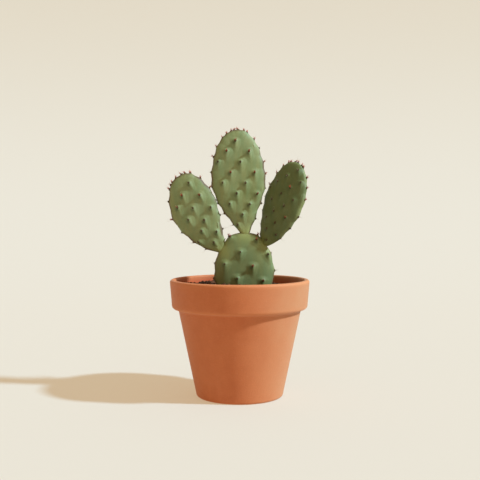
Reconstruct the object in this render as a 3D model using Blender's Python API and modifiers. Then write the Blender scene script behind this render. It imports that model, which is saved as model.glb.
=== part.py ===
"""A paddle cactus in a terracotta pot.

The pot stands on its foot with its axis on Z. Four pads grow from a root crown in the soil: a base pad,
and three more on its upper edge. Metres, +Z up, the front of the plant faces -Y.
"""

import math

import bmesh
import bpy
from mathutils import Matrix, Vector

MM = 0.001
GAP = 0.3 * MM                      # kept between pieces that touch

# Terracotta pot, turned on a wheel.
POT_HEIGHT = 92 * MM
POT_STEPS = 64
RIM_RADIUS = 55.0 * MM              # outside, at the lip
BAND_RADIUS = 53.5 * MM             # outside, at the band's lower edge
BAND_BOTTOM = 69.0 * MM
BAND_ROUND = 3.0 * MM
SHOULDER_ROUND = 2.5 * MM
LIP_ROUND = 2.0 * MM
LIP_INNER_ROUND = 1.6 * MM
LIP_INNER_RADIUS = 50.8 * MM
BAND_INNER_RADIUS = 49.4 * MM
BAND_INNER_BOTTOM = 74 * MM
FLARE_BOTTOM = 62 * MM
FOOT_RADIUS = 34.05 * MM            # where the body's slope meets the ground
BODY_SLOPE = 0.218                  # radius gained for each unit of height
BODY_WALL = 4.8 * MM
FOOT_ROUND = 3.0 * MM
FLOOR_THICKNESS = 6.0 * MM
FLOOR_ROUND = 4.0 * MM
DRAIN_RADIUS = 6.0 * MM
DRAIN_CHAMFER = 1.0 * MM

# Soil, heaped a little round the plant.
SOIL_STEPS = 40
SOIL_EDGE = 84.6 * MM
SOIL_CROWN = 87.6 * MM

# Crock: a curved shard laid over the drain hole.
CROCK_RADIUS = 22 * MM
CROCK_WIDTH = 26 * MM
CROCK_LENGTH = 24 * MM
CROCK_THICKNESS = 4.5 * MM

# Pads. The neck is at local (0, 0, 0), length runs along +Z, width along X and thickness along Y.
# "lean" tips the pad to the right, "turn" swings its right edge to the back, in degrees.
# "waist" and "shoulder" say how much the pad narrows to its neck and how far up that reaches.
PAD_SEGMENTS = 28
PAD_RINGS = 18
PAD_FACE_EXPONENT = 2.5             # above 2 makes the two faces flatter
PAD_OUTLINE_EXPONENT = 2.12
PAD_EDGE_EXPONENT = 3.4             # keeps the thickness up to the edge
PADS = {
    "pad_base": {
        "neck": (3.5, 0.0, 62.0), "lean": 0.0, "turn": 0.0, "length": 66.5, "width": 47.4,
        "thickness": 13.5, "waist": 0.5, "shoulder": 0.45, "bow": 0.0, "parent": None,
        "color": (0.135, 0.152, 0.058)},
    "pad_center": {
        "neck": (3.9, 0.0, 126.8), "lean": -4.6, "turn": 0.0, "length": 83.6, "width": 42.6,
        "thickness": 10.5, "waist": 0.58, "shoulder": 0.50, "bow": 0.0, "parent": "pad_base",
        "color": (0.205, 0.235, 0.098)},
    "pad_left": {
        "neck": (-14.4, -0.5, 114.3), "lean": -27.5, "turn": -5.0, "length": 69.5, "width": 35.6,
        "thickness": 10.5, "waist": 0.40, "shoulder": 0.60, "bow": -4.6, "parent": "pad_base",
        "color": (0.180, 0.205, 0.078)},
    "pad_right": {
        "neck": (18.1, 0.5, 118.6), "lean": 21.5, "turn": -38.0, "length": 72.0, "width": 36.6,
        "thickness": 10.5, "waist": 0.40, "shoulder": 0.60, "bow": 3.6, "parent": "pad_base",
        "color": (0.090, 0.100, 0.032)},
}
SEAT_STEP = 0.05 * MM               # how finely a neck is fitted to the pad below it
SEAT_DEPTH = 12 * MM                # how far up a pad the fitting may reach

# Roots: a crown under the base pad, and tapered roots that spread from it.
CROWN_TOP = 61.7 * MM
CROWN_HEIGHT = 13 * MM
CROWN_RADIUS = 6.5 * MM
ROOT_COUNT = 6
ROOT_REACH = 27 * MM
ROOT_DROP = 27 * MM
ROOT_THICK = 1.9 * MM
ROOT_THIN = 0.7 * MM
ROOT_POINTS = 7

# Spine clusters on the pads' edges: a small cushion with spines that stand out of it.
CUSHION = Vector((1.3, 1.1, 0.6)) * MM
SPINE_LENGTH = 2.5 * MM
SPINES = [(0.0, 0.15, 1.0), (0.8, 0.3, 0.75), (-0.75, -0.45, 0.8)]
# Angles round each pad's outline, clockwise from the neck: 0 is the neck and 180 the tip.
CLUSTERS = {
    "pad_base": [88, 107, 154, 242, 264],
    "pad_center": [104 + 16 * n for n in range(13)],
    "pad_left": [62 + 20 * n for n in range(9)],
    "pad_right": [76 + 18 * n for n in range(13)],
}


def remove_everything():
    for old in list(bpy.data.objects):
        bpy.data.objects.remove(old, do_unlink=True)


def make_collection(name):
    collection = bpy.data.collections.new(name)
    bpy.context.scene.collection.children.link(collection)
    return collection


def make_material(name, color, roughness):
    material = bpy.data.materials.new(name)
    material.use_nodes = True
    shader = material.node_tree.nodes["Principled BSDF"]
    shader.inputs["Base Color"].default_value = (*color, 1.0)
    shader.inputs["Roughness"].default_value = roughness
    shader.inputs["Metallic"].default_value = 0.0
    return material


def new_object(name, mesh, collection, material=None):
    obj = bpy.data.objects.new(name, mesh)
    collection.objects.link(obj)
    if material:
        mesh.materials.append(material)
        mesh.shade_smooth()
    return obj


def mesh_from_bmesh(name, bm):
    bmesh.ops.recalc_face_normals(bm, faces=bm.faces[:])
    mesh = bpy.data.meshes.new(name)
    bm.to_mesh(mesh)
    bm.free()
    return mesh


def new_cutter(name, mesh, cutters):
    obj = new_object(name, mesh, cutters)
    obj.hide_render = True
    obj.display_type = "WIRE"
    return obj


def boolean(obj, other, operation="DIFFERENCE"):
    modifier = obj.modifiers.new(other.name, "BOOLEAN")
    modifier.operation = operation
    modifier.solver = "EXACT"
    modifier.object = other


def arc(center, radius, start, end, steps):
    """Points on an arc in the XZ plane, from the start angle to the end angle in degrees."""
    points = []
    for n in range(steps + 1):
        angle = math.radians(start + (end - start) * n / steps)
        points.append((center[0] + radius * math.cos(angle), center[1] + radius * math.sin(angle)))
    return points


def turned(name, profile, steps, closed, collection, material):
    """A profile of (radius, height) points, turned round Z."""
    mesh = bpy.data.meshes.new(name)
    count = len(profile)
    edges = [(n, n + 1) for n in range(count - 1)]
    if closed:
        edges.append((count - 1, 0))
    mesh.from_pydata([(x, 0.0, z) for x, z in profile], edges, [])
    obj = new_object(name, mesh, collection, material)
    screw = obj.modifiers.new("turn", "SCREW")
    screw.axis = "Z"
    screw.angle = 2 * math.pi
    screw.steps = steps
    screw.render_steps = steps
    screw.use_merge_vertices = True
    screw.merge_threshold = 0.00001
    screw.use_smooth_shade = True
    return obj


def body_radius(z):
    return FOOT_RADIUS + BODY_SLOPE * z


def inner_wall(inset=0.0):
    """The pot's inside from the floor's round corner up to the lip, drawn in by inset."""
    corner_top = FLOOR_THICKNESS + FLOOR_ROUND
    corner_x = body_radius(corner_top) - BODY_WALL - FLOOR_ROUND
    points = arc((corner_x, corner_top), FLOOR_ROUND - inset, -90, 0, 3)
    low_radius = body_radius(FLARE_BOTTOM) - BODY_WALL
    steps = 5
    for n in range(steps + 1):
        share = n / steps
        ease = share * share * (3 - 2 * share)
        radius = low_radius + (BAND_INNER_RADIUS - low_radius) * ease
        points.append((radius - inset, FLARE_BOTTOM + (BAND_INNER_BOTTOM - FLARE_BOTTOM) * share))
    return points


def build_pot(collection):
    clay = make_material("terracotta", (0.50, 0.195, 0.085), 0.9)
    lip_x = RIM_RADIUS - LIP_ROUND
    shoulder_x = BAND_RADIUS - BAND_ROUND
    profile = arc((lip_x, POT_HEIGHT - LIP_ROUND), LIP_ROUND, 90, 0, 4)
    profile += arc((shoulder_x, BAND_BOTTOM + BAND_ROUND), BAND_ROUND, 0, -90, 4)
    profile += arc((shoulder_x, BAND_BOTTOM - SHOULDER_ROUND), SHOULDER_ROUND, 90, 180, 3)[1:]
    profile += arc((body_radius(FOOT_ROUND) - FOOT_ROUND, FOOT_ROUND), FOOT_ROUND, 0, -90, 3)
    profile += [(DRAIN_RADIUS + DRAIN_CHAMFER, 0.0), (DRAIN_RADIUS, DRAIN_CHAMFER),
                (DRAIN_RADIUS, FLOOR_THICKNESS - DRAIN_CHAMFER),
                (DRAIN_RADIUS + DRAIN_CHAMFER, FLOOR_THICKNESS)]
    profile += inner_wall()
    inner_x = LIP_INNER_RADIUS + LIP_INNER_ROUND
    profile += arc((inner_x, POT_HEIGHT - LIP_INNER_ROUND), LIP_INNER_ROUND, 180, 90, 3)
    return turned("pot", profile, POT_STEPS, True, collection, clay)


def soil_height(radius):
    share = min(1.0, radius / BAND_INNER_RADIUS)
    return SOIL_EDGE + (SOIL_CROWN - SOIL_EDGE) * (0.5 + 0.5 * math.cos(math.pi * share))


def build_soil(collection):
    earth = make_material("soil", (0.060, 0.034, 0.020), 1.0)
    wall_slope = (LIP_INNER_RADIUS - BAND_INNER_RADIUS) / (POT_HEIGHT - LIP_INNER_ROUND - BAND_INNER_BOTTOM)
    edge_radius = BAND_INNER_RADIUS + wall_slope * (SOIL_EDGE - BAND_INNER_BOTTOM) - GAP
    rings = 6
    top = [(edge_radius * n / rings, soil_height(edge_radius * n / rings)) for n in range(rings + 1)]
    wall = inner_wall(GAP)
    wall.reverse()
    profile = top + wall + [(0.0, FLOOR_THICKNESS + GAP)]
    return turned("soil", profile, SOIL_STEPS, False, collection, earth)


def bent_sheet(radius, length):
    """A grid bent to a radius about the shard's own axis, over the drain hole."""
    bm = bmesh.new()
    bmesh.ops.create_grid(bm, x_segments=8, y_segments=3, size=0.5)
    axis_height = FLOOR_THICKNESS + GAP - math.sqrt(CROCK_RADIUS ** 2 - (CROCK_WIDTH / 2) ** 2)
    for vert in bm.verts:
        x = vert.co.x * CROCK_WIDTH * radius / CROCK_RADIUS
        vert.co = Vector((x, vert.co.y * length, axis_height + math.sqrt(radius ** 2 - x ** 2)))
    return bm


def build_crock(collection, cutters):
    clay = make_material("crock", (0.46, 0.18, 0.08), 0.9)
    crock_mesh = mesh_from_bmesh("drain_crock", bent_sheet(CROCK_RADIUS, CROCK_LENGTH))
    crock = new_object("drain_crock", crock_mesh, collection, clay)
    crock_mesh.shade_flat()
    if crock_mesh.polygons[0].normal.z < 0:
        crock_mesh.flip_normals()
    shell = crock.modifiers.new("thickness", "SOLIDIFY")
    shell.thickness = CROCK_THICKNESS
    shell.offset = 1.0

    bm = bent_sheet(CROCK_RADIUS + CROCK_THICKNESS + 2 * GAP, CROCK_LENGTH + 2 * GAP)
    made = bmesh.ops.extrude_face_region(bm, geom=bm.faces[:])
    for item in made["geom"]:
        if isinstance(item, bmesh.types.BMVert):
            item.co.z = FLOOR_THICKNESS - 2 * GAP
    return crock, new_cutter("crock_space", mesh_from_bmesh("crock_space", bm), cutters)


def pad_matrix(pad):
    neck = Matrix.Translation(Vector(pad["neck"]) * MM)
    lean = Matrix.Rotation(math.radians(pad["lean"]), 4, "Y")
    turn = Matrix.Rotation(math.radians(pad["turn"]), 4, "Z")
    return neck @ lean @ turn


def pad_section(pad, share, grow=0.0):
    """Centre line offset, half width and half thickness at a share of the pad's length."""
    middle = min(1.0, abs(2 * share - 1))
    narrowing = 1 - pad["waist"] * max(0.0, 1 - share / pad["shoulder"]) ** 1.5
    outline = (1 - middle ** PAD_OUTLINE_EXPONENT) ** (1 / PAD_OUTLINE_EXPONENT)
    edge = (1 - middle ** PAD_EDGE_EXPONENT) ** (1 / PAD_EDGE_EXPONENT)
    center = pad["bow"] * MM * math.sin(math.pi * math.sqrt(share))
    half_width = pad["width"] / 2 * MM * outline * narrowing + grow
    half_thickness = pad["thickness"] / 2 * MM * edge * (0.5 + 0.5 * narrowing) + grow
    return center, half_width, half_thickness


def is_inside(pad, to_local, point):
    """Whether a world point is inside a pad that has grown by the gap."""
    local = to_local @ point
    length = pad["length"] * MM
    share = (local.z + GAP) / (length + 2 * GAP)
    if not 0 < share < 1:
        return False
    center, half_width, half_thickness = pad_section(pad, share, GAP)
    across = abs((local.x - center) / half_width) ** PAD_FACE_EXPONENT
    through = abs(local.y / half_thickness) ** PAD_FACE_EXPONENT
    return across + through < 1


def seat_neck(bm, pad, parent):
    """Push the neck out of the pad below, so that it sits on its edge like a saddle."""
    to_world = pad_matrix(pad)
    to_pad = to_world.inverted()
    to_parent = pad_matrix(parent).inverted()
    heart = pad_matrix(parent) @ Vector((0.0, 0.0, parent["length"] * MM / 2))
    outward = (to_world.translation - heart).normalized()
    for vert in bm.verts:
        if vert.co.z > SEAT_DEPTH:
            continue
        point = to_world @ vert.co
        while is_inside(parent, to_parent, point):
            point += outward * SEAT_STEP
        vert.co = to_pad @ point


def pad_bmesh(pad, grow=0.0):
    """A round ball drawn out into a flat pad with a narrow neck."""
    bm = bmesh.new()
    bmesh.ops.create_uvsphere(bm, u_segments=PAD_SEGMENTS, v_segments=PAD_RINGS, radius=1.0)
    length = pad["length"] * MM
    for vert in bm.verts:
        share = min(1.0, max(0.0, (1 + vert.co.z) / 2))
        center, half_width, half_thickness = pad_section(pad, share)
        ring = math.hypot(vert.co.x, vert.co.y)
        x = y = 0.0
        if ring > 1e-6:
            power = 2 / PAD_FACE_EXPONENT
            across = vert.co.x / ring
            through = vert.co.y / ring
            x = (half_width + grow) * math.copysign(abs(across) ** power, across)
            y = (half_thickness + grow) * math.copysign(abs(through) ** power, through)
        vert.co = Vector((center + x, y, length * share + grow * (2 * share - 1)))
    return bm


def build_pad(name, collection):
    pad = PADS[name]
    skin = make_material(name + "_skin", pad["color"], 0.75)
    bm = pad_bmesh(pad)
    if pad["parent"]:
        seat_neck(bm, pad, PADS[pad["parent"]])
    obj = new_object(name, mesh_from_bmesh(name, bm), collection, skin)
    obj.matrix_world = pad_matrix(pad)
    return obj


def edge_point(pad, degrees):
    angle = math.radians(degrees)
    share = (1 - math.cos(angle)) / 2
    center, half_width, _ = pad_section(pad, share)
    side = -math.copysign(1.0, math.sin(angle))
    return Vector((center + side * half_width, 0.0, pad["length"] * MM * share))


def build_cluster(name, pad, degrees, collection, material):
    """A cushion that sits on the pad's edge, with some of its points drawn out into spines."""
    bm = bmesh.new()
    bmesh.ops.create_icosphere(bm, subdivisions=2, radius=1.0)
    tips = []
    for spine in SPINES:
        direction = Vector(spine).normalized()
        tips.append((max(bm.verts, key=lambda vert: vert.co.dot(direction)), direction))
    for vert in bm.verts:
        vert.co = Vector((vert.co.x * CUSHION.x, vert.co.y * CUSHION.y, vert.co.z * CUSHION.z))
    for vert, direction in tips:
        vert.co = direction * SPINE_LENGTH
    obj = new_object(name, mesh_from_bmesh(name, bm), collection, material)
    tangent = (edge_point(pad, degrees + 1) - edge_point(pad, degrees - 1)).normalized()
    outward = Vector((-tangent.z, 0.0, tangent.x))
    place = edge_point(pad, degrees) + outward * (GAP + CUSHION.z)
    local = Matrix((tangent, tangent.cross(outward) * -1, outward)).transposed().to_4x4()
    obj.matrix_world = pad_matrix(pad) @ Matrix.Translation(place) @ local
    return obj


def root_path(index):
    """Points down one root: it leaves the crown level, then bends down as it spreads."""
    heading = 2 * math.pi * (index + 0.3) / ROOT_COUNT
    reach = ROOT_REACH * (0.8 + 0.2 * math.cos(2.4 * index))
    drop = ROOT_DROP * (0.75 + 0.25 * math.sin(1.7 * index + 1))
    start = Vector((PADS["pad_base"]["neck"][0] * MM, 0.0, CROWN_TOP - CROWN_HEIGHT * 0.6))
    points = []
    for n in range(ROOT_POINTS):
        share = n / (ROOT_POINTS - 1)
        swing = heading + 0.35 * math.sin(2.5 * share + index)
        out = Vector((math.cos(swing), math.sin(swing), 0.0)) * reach * share
        points.append(start + out - Vector((0.0, 0.0, drop * share ** 1.6)))
    return points


def root_mesh(name, index, grow, cutters):
    """One root as a tapered tube, made as a curve and turned into a mesh."""
    curve = bpy.data.curves.new(name, "CURVE")
    curve.dimensions = "3D"
    curve.bevel_depth = 1 * MM
    curve.bevel_resolution = 1
    curve.use_fill_caps = True
    points = root_path(index)
    spline = curve.splines.new("POLY")
    spline.points.add(len(points) - 1)
    for n, place in enumerate(points):
        share = n / (len(points) - 1)
        thickness = ROOT_THICK + (ROOT_THIN - ROOT_THICK) * share + grow
        spline.points[n].co = (*place, 1.0)
        spline.points[n].radius = thickness / curve.bevel_depth
    tube = bpy.data.objects.new(name + "_curve", curve)
    cutters.objects.link(tube)
    bpy.context.view_layer.update()
    mesh = bpy.data.meshes.new_from_object(tube.evaluated_get(bpy.context.evaluated_depsgraph_get()))
    bpy.data.objects.remove(tube, do_unlink=True)
    bm = bmesh.new()
    bm.from_mesh(mesh)
    bmesh.ops.remove_doubles(bm, verts=bm.verts[:], dist=0.00001)
    bpy.data.meshes.remove(mesh)
    return mesh_from_bmesh(name, bm)


def crown_mesh(name, grow):
    bm = bmesh.new()
    bmesh.ops.create_uvsphere(bm, u_segments=16, v_segments=8, radius=1.0)
    for vert in bm.verts:
        vert.co.x *= CROWN_RADIUS + grow
        vert.co.y *= CROWN_RADIUS * 0.7 + grow
        vert.co.z *= CROWN_HEIGHT / 2 + grow
        vert.co += Vector((PADS["pad_base"]["neck"][0] * MM, 0.0, CROWN_TOP - CROWN_HEIGHT / 2))
    return mesh_from_bmesh(name, bm)


def build_roots(collection, cutters):
    bark = make_material("root", (0.33, 0.22, 0.12), 0.9)
    roots = new_object("roots", crown_mesh("roots", 0.0), collection, bark)
    space = new_cutter("root_space", crown_mesh("root_space", GAP), cutters)
    for index in range(ROOT_COUNT):
        name = "root_{}".format(index + 1)
        boolean(roots, new_cutter(name, root_mesh(name, index, 0.0, cutters), cutters), "UNION")
        name += "_space"
        boolean(space, new_cutter(name, root_mesh(name, index, GAP, cutters), cutters), "UNION")
    return roots, space


def main():
    remove_everything()
    plant = make_collection("potted_paddle_cactus")
    cutters = make_collection("cutters")
    build_pot(plant)
    soil = build_soil(plant)
    _, crock_space = build_crock(plant, cutters)
    _, root_space = build_roots(plant, cutters)
    for name in PADS:
        build_pad(name, plant)
    base = PADS["pad_base"]
    base_space = new_cutter("base_space", mesh_from_bmesh("base_space", pad_bmesh(base, GAP)), cutters)
    base_space.matrix_world = pad_matrix(base)
    for cutter in (crock_space, root_space, base_space):
        boolean(soil, cutter)

    thorn = make_material("spines", (0.36, 0.20, 0.10), 0.7)
    for name, angles in CLUSTERS.items():
        for n, degrees in enumerate(angles):
            label = "{}_spines_{:02d}".format(name.replace("pad_", ""), n + 1)
            build_cluster(label, PADS[name], degrees, plant, thorn)


main()
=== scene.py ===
"""A paddle cactus in a terracotta pot: its visible surfaces and materials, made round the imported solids."""

import math

import bpy
import numpy as np
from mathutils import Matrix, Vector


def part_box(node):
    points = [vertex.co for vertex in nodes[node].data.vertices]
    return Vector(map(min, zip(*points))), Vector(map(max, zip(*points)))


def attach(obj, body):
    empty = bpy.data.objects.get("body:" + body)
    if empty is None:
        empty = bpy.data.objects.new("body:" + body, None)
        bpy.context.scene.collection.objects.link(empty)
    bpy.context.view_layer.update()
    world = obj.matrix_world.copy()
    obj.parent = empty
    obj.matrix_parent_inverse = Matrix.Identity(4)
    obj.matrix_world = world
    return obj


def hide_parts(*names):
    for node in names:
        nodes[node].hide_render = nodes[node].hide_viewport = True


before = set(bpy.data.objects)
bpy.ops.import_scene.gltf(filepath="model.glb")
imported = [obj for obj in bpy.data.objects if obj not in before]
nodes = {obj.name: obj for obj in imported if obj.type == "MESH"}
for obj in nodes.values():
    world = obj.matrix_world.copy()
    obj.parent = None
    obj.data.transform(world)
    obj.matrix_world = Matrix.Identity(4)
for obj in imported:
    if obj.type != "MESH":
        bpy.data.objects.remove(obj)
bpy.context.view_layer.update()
MM = 0.001
chance = np.random.default_rng(41)


# ---------------------------------------------------------------------------------------------------------
# The pot: plain fired clay, turned on a wheel. A deep band runs round the rim, with a rounded lip and a
# rounded lower edge. Below it the body tapers to a rounded foot with one drain hole.

_, pot_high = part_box("pot")
pot_height, rim_radius = pot_high.z, pot_high.x
band_radius = rim_radius - 1.5 * MM     # at the band's lower edge
band_bottom = 0.75 * pot_height
foot_radius = 0.619 * rim_radius        # where the body's slope meets the ground
body_slope = 0.218                      # radius gained for each unit of height
body_wall = 4.8 * MM
floor_thickness = 6.0 * MM
floor_round = 4.0 * MM
drain_radius = 6.0 * MM
flare_bottom, flare_top = 62 * MM, 74 * MM
lip_inner_radius = rim_radius - 4.2 * MM
band_inner_radius = rim_radius - 5.6 * MM
unevenness = 0.10 * MM                  # how far the turned wall sways in and out
inside_shade_depth = 4 * MM                     # how far below the lip the painted shade inside comes on
glow_width = 2.4 * MM                    # of the lighter band painted on the outer corners, for worn clay and bounced light
POT_AROUND = 256


def arc(center, radius, start, end, steps):
    """Points on a circle about a (radius, height) center, with the angle going from start to end degrees."""
    angle = np.radians(np.linspace(start, end, steps))
    return np.stack([center[0] + radius * np.cos(angle), center[1] + radius * np.sin(angle)], axis=1)


def line(start, end, steps):
    """Points between two (radius, height) points, without either end."""
    share = np.linspace(0, 1, steps + 2)[1:-1, None]
    return (1 - share) * np.array(start) + share * np.array(end)


def connect(*parts):
    """Profile parts one after the other, with a straight run of about 1.5 mm steps across each gap."""
    points = [parts[0]]
    for part in parts[1:]:
        gap = math.dist(points[-1][-1], part[0])
        points += [line(points[-1][-1], part[0], int(gap / (1.5 * MM))), part]
    return np.concatenate(points)


def body_radius(height):
    """The pot's outside below the band: a straight slope from the foot."""
    return foot_radius + body_slope * height


def inner_profile(inset=0.0):
    """The pot's inside from the floor to the band: a round corner, a straight slope, then an eased flare."""
    corner_height = floor_thickness + floor_round
    corner = (body_radius(corner_height) - body_wall - floor_round, corner_height)
    share = np.linspace(0, 1, 12)
    low_radius = body_radius(flare_bottom) - body_wall
    radius = low_radius + (band_inner_radius - low_radius) * share ** 2 * (3 - 2 * share) - inset
    flare = np.stack([radius, flare_bottom + (flare_top - flare_bottom) * share], axis=1)
    return connect(arc(corner, floor_round - inset, -90, 0, 6), flare)


def pot_profile():
    """The closed outline of half the wall: down the outside, under the foot, up the drain hole and inside."""
    lip, band, shoulder, foot, inner_lip = 2.0 * MM, 3.0 * MM, 2.5 * MM, 2.3 * MM, 1.6 * MM
    band_x = band_radius - band
    edge = 0.8 * MM
    return connect(
        arc((rim_radius - lip, pot_height - lip), lip, 90, 0, 9),
        arc((band_x, band_bottom + band), band, 0, -90, 10),
        arc((band_x, band_bottom - shoulder), shoulder, 95, 172, 8),
        arc((body_radius(foot) - foot, foot), foot, 0, -90, 8),
        arc((drain_radius + edge, edge), edge, -90, -180, 4),
        arc((drain_radius + edge, floor_thickness - edge), edge, 180, 90, 4),
        inner_profile(),
        arc((lip_inner_radius + inner_lip, pot_height - inner_lip), inner_lip, 180, 90, 8))


def mesh_from(name, points, quads, triangles=np.zeros((0, 3), int), smooth=True):
    """A mesh from whole arrays, turned so that the volume inside its faces is positive."""
    points = np.asarray(points, float)
    corners = np.concatenate([triangles, quads[:, [0, 1, 2]], quads[:, [0, 2, 3]]])
    a, b, c = (points[corners[:, n]] for n in range(3))
    if np.einsum("ij,ij->", a, np.cross(b, c)) < 0:
        quads, triangles = quads[:, ::-1], triangles[:, ::-1]
    loops = np.concatenate([quads.ravel(), triangles.ravel()])
    sizes = np.concatenate([np.full(len(quads), 4), np.full(len(triangles), 3)])
    mesh = bpy.data.meshes.new(name)
    mesh.vertices.add(len(points))
    mesh.vertices.foreach_set("co", points.astype(np.float32).ravel())
    mesh.loops.add(len(loops))
    mesh.loops.foreach_set("vertex_index", loops.astype(np.int32))
    mesh.polygons.add(len(sizes))
    mesh.polygons.foreach_set("loop_start", (np.cumsum(sizes) - sizes).astype(np.int32))
    mesh.update(calc_edges=True)
    if smooth:
        mesh.shade_smooth()
    return mesh


def grid_quads(rows, columns, wrap_rows=False):
    """The faces of a grid that closes on itself from its last column to its first, and by rows if asked."""
    row = np.arange(rows if wrap_rows else rows - 1)[:, None]
    column = np.arange(columns)[None, :]
    next_row, next_column = (row + 1) % rows, (column + 1) % columns
    corners = [row * columns + column, row * columns + next_column,
               next_row * columns + next_column, next_row * columns + column]
    return np.stack(corners, axis=-1).reshape(-1, 4)


def revolve(profile, around):
    """A profile of (radius, height) points turned round Z: x and y are the radius times cosine and sine."""
    angle = np.arange(around) * 2 * np.pi / around
    radius, height = profile[:, :1], profile[:, 1:]
    return np.stack([radius * np.cos(angle), radius * np.sin(angle), height + 0 * angle], axis=-1)


def waves(count, seed, *coordinates):
    """Smooth unevenness between about -1 and 1: a sum of sines, each with its own seeded pitch and phase."""
    draw = np.random.default_rng(seed)
    total = 0
    for _ in range(count):
        pitch = draw.uniform(-1, 1, len(coordinates))
        phase = draw.uniform(0, 2 * np.pi)
        total = total + np.sin(sum(p * c for p, c in zip(pitch, coordinates)) + phase)
    return total / math.sqrt(count)


def set_values(mesh, name, values):
    """Stores one number for each point, for a material to read."""
    layer = mesh.attributes.new(name, "FLOAT", "POINT")
    layer.data.foreach_set("value", np.asarray(values, np.float32).ravel())


def add_piece(name, mesh, material, slot, *replaced):
    """Puts a piece on the plant's one body and hides the solids that it stands for. The slot is not used."""
    piece = bpy.data.objects.new(name, mesh)
    bpy.context.scene.collection.objects.link(piece)
    mesh.materials.append(material)
    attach(piece, "root")
    if replaced:
        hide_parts(*replaced)


def add_node(tree, kind, inputs=None, **settings):
    """A shader node with its settings. An input is a value, or an output of another node."""
    node = tree.nodes.new("ShaderNode" + kind)
    for key, value in settings.items():
        setattr(node, key, value)
    for key, value in (inputs or {}).items():
        if isinstance(value, bpy.types.NodeSocket):
            tree.links.new(value, node.inputs[key])
        else:
            node.inputs[key].default_value = value
    return node


def blend_colors(tree, factor, first, second, mode="MIX"):
    """first goes over to second as factor goes from 0 to 1."""
    node = add_node(tree, "Mix", data_type="RGBA", blend_type=mode)
    for socket, value in ((node.inputs[0], factor), (node.inputs[6], first), (node.inputs[7], second)):
        if isinstance(value, bpy.types.NodeSocket):
            tree.links.new(value, socket)
        elif isinstance(value, tuple):
            socket.default_value = (*value, 1.0)
        else:
            socket.default_value = value
    return node.outputs[2]


def math_node(tree, operation, *values):
    """One sum on numbers or on outputs of other nodes."""
    node = add_node(tree, "Math", operation=operation)
    for socket, value in zip(node.inputs, values):
        if isinstance(value, bpy.types.NodeSocket):
            tree.links.new(value, socket)
        else:
            socket.default_value = value
    return node.outputs[0]


def tint(tree, color, mask, amount, second):
    """Lays second over color by amount, where mask is 1."""
    return blend_colors(tree, math_node(tree, "MULTIPLY", mask, amount), color, second)


def times(color, factor):
    """A color made lighter or darker by one factor, or by one for each channel."""
    return tuple(np.multiply(color, factor))


def weighted_sum(tree, *parts):
    """The sum of values, each times its weight."""
    total = 0.0
    for value, weight in parts:
        total = math_node(tree, "MULTIPLY_ADD", value, weight, total)
    return total


def ease_between(tree, value, low, high):
    """0 below low, 1 above high, and eased in between."""
    node = add_node(tree, "MapRange", {"Value": value, "From Min": low, "From Max": high},
                    interpolation_type="SMOOTHSTEP")
    return node.outputs[0]


def new_material(name, specular=0.5):
    """A material with its node tree and its shader, and how strongly it shines."""
    material = bpy.data.materials.new(name)
    material.use_nodes = True
    shader = material.node_tree.nodes["Principled BSDF"]
    shader.inputs["Specular IOR Level"].default_value = specular
    return material, material.node_tree, shader


def make_mottling():
    """A group that gives soft clouds, a fine grain and sparse specks, each at its own size in metres."""
    group = bpy.data.node_groups.new("mottling", "ShaderNodeTree")
    group.interface.new_socket("Coordinates", in_out="INPUT", socket_type="NodeSocketVector")
    for name, size in (("Cloud Size", 0.02), ("Grain Size", 0.0006), ("Speck Size", 0.002)):
        group.interface.new_socket(name, in_out="INPUT", socket_type="NodeSocketFloat").default_value = size
    for name in ("Clouds", "Grain", "Specks"):
        group.interface.new_socket(name, in_out="OUTPUT", socket_type="NodeSocketFloat")
    given = group.nodes.new("NodeGroupInput").outputs
    result = group.nodes.new("NodeGroupOutput").inputs
    pitches = {name: math_node(group, "DIVIDE", 1.0, given[name])
               for name in ("Cloud Size", "Grain Size", "Speck Size")}
    clouds = add_node(group, "TexNoise", {"Vector": given["Coordinates"], "Scale": pitches["Cloud Size"],
                                          "Detail": 4.0, "Roughness": 0.55})
    grain = add_node(group, "TexNoise", {"Vector": given["Coordinates"], "Scale": pitches["Grain Size"],
                                         "Detail": 3.0, "Roughness": 0.6})
    specks = add_node(group, "TexVoronoi", {"Vector": given["Coordinates"], "Scale": pitches["Speck Size"]})
    group.links.new(ease_between(group, clouds.outputs[0], 0.3, 0.7), result["Clouds"])
    group.links.new(ease_between(group, grain.outputs[0], 0.25, 0.75), result["Grain"])
    group.links.new(math_node(group, "SUBTRACT", 1.0, ease_between(group, specks.outputs[0], 0.08, 0.22)),
                    result["Specks"])
    return group


mottling = make_mottling()


def mottled(tree, cloud_size, grain_size, speck_size):
    """Places the mottling group on the object's own coordinates."""
    place = add_node(tree, "TexCoord").outputs["Object"]
    node = tree.nodes.new("ShaderNodeGroup")
    node.node_tree = mottling
    tree.links.new(place, node.inputs["Coordinates"])
    for name, size in (("Cloud Size", cloud_size), ("Grain Size", grain_size), ("Speck Size", speck_size)):
        node.inputs[name].default_value = size
    return place, node.outputs["Clouds"], node.outputs["Grain"], node.outputs["Specks"]


def texture(tree, shader, height, distance, smooth, rough, strength=1.0):
    """Bumps the surface by height. Its roughness goes from smooth to rough as the height goes up to 1."""
    node = add_node(tree, "Bump", {"Height": height, "Distance": distance, "Strength": strength})
    tree.links.new(node.outputs[0], shader.inputs["Normal"])
    level = add_node(tree, "MapRange", {"Value": height, "To Min": smooth, "To Max": rough})
    tree.links.new(level.outputs[0], shader.inputs["Roughness"])


def point_value(tree, name):
    """Reads the numbers that set_values stored."""
    return add_node(tree, "Attribute", attribute_name=name).outputs["Fac"]


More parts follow.
